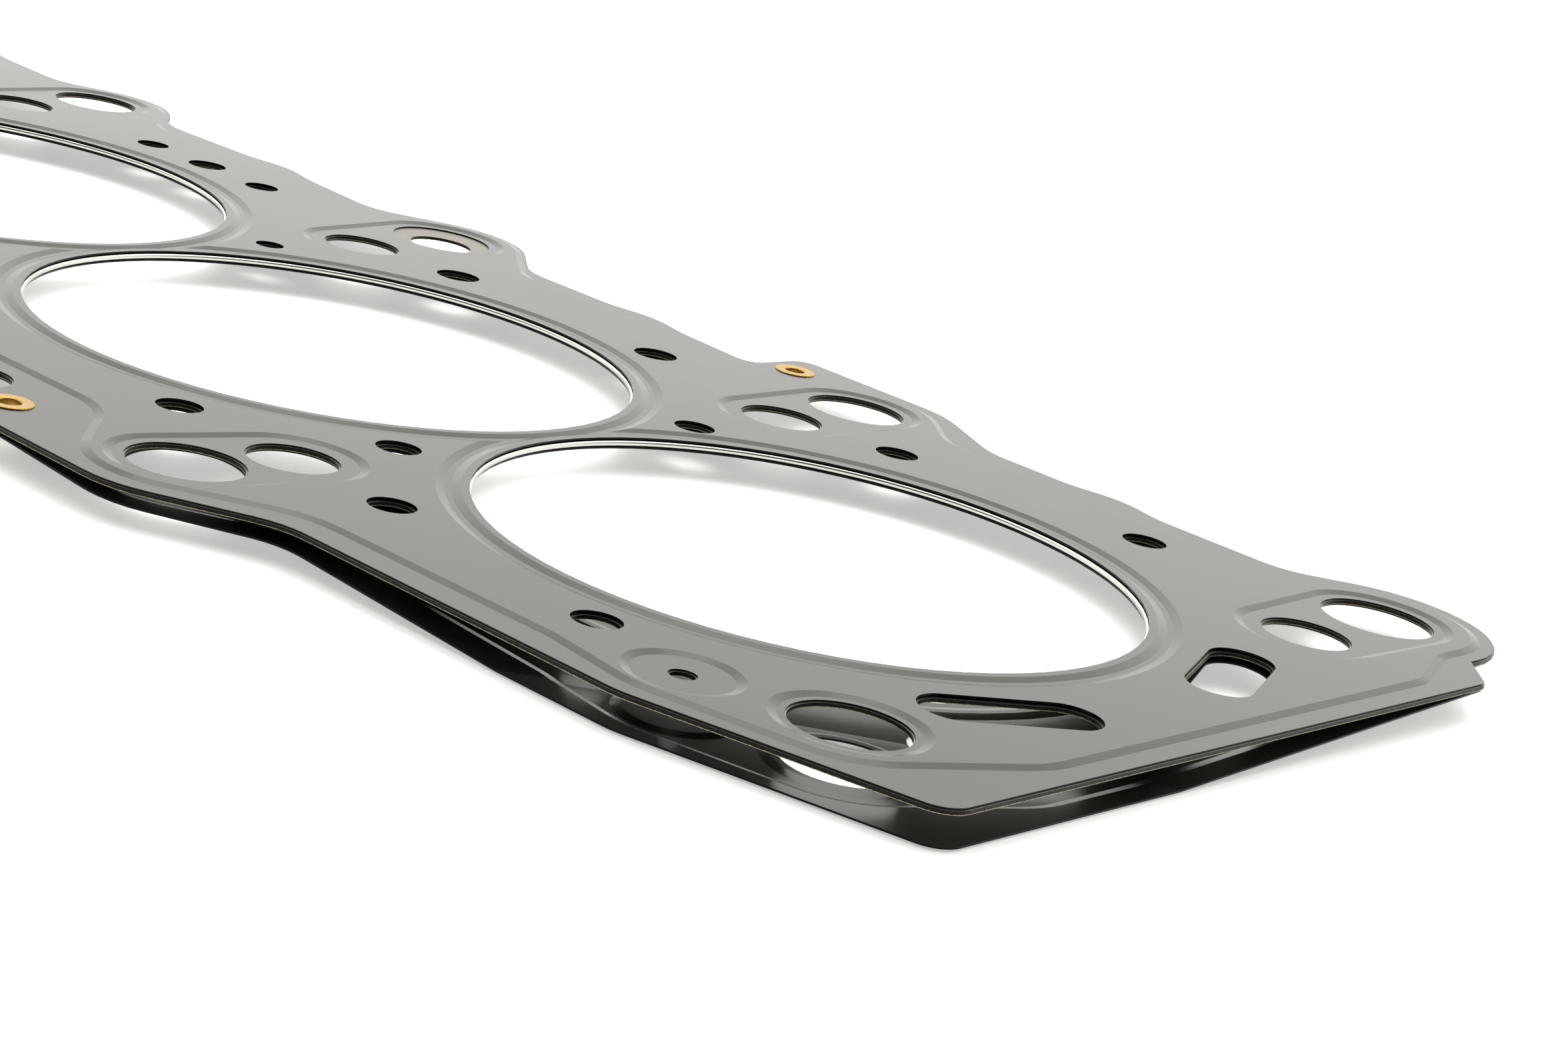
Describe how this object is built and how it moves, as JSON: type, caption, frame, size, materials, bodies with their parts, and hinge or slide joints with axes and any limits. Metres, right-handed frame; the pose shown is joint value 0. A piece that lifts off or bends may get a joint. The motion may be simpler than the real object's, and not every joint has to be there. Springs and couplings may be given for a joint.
{
  "type": "cylinder head gasket",
  "caption": "Multi-layer steel cylinder head gasket for an inline engine, with black rubber-coated embossed outer sheets, folded bare-steel bore rings and brass eyelets.",
  "frame": {"origin": "middle of the bore row, on the face that seals against the block", "axes": "+X along the bore row, +Y towards the side with the long lobes, +Z towards the cylinder head"},
  "size_m": [0.4068, 0.1592, 0.0052],
  "materials": {
    "coated_sheet": "thin black rubber coating on steel, satin to half gloss",
    "plain_sheet": "plain rolled steel, dark at the cut edges",
    "ring_steel": "bare stainless steel, smooth and bright",
    "brass": "bare brass, half bright"
  },
  "bodies": {
    "root": {"head_side_layer": "coated_sheet", "spacer_layer": "plain_sheet", "block_side_layer": "coated_sheet", "bore_ring_1": "ring_steel", "bore_ring_2": "ring_steel", "bore_ring_3": "ring_steel", "bore_ring_4": "ring_steel", "eyelet_1": "brass", "eyelet_2": "brass", "eyelet_3": "brass"}
  },
  "joints": []
}
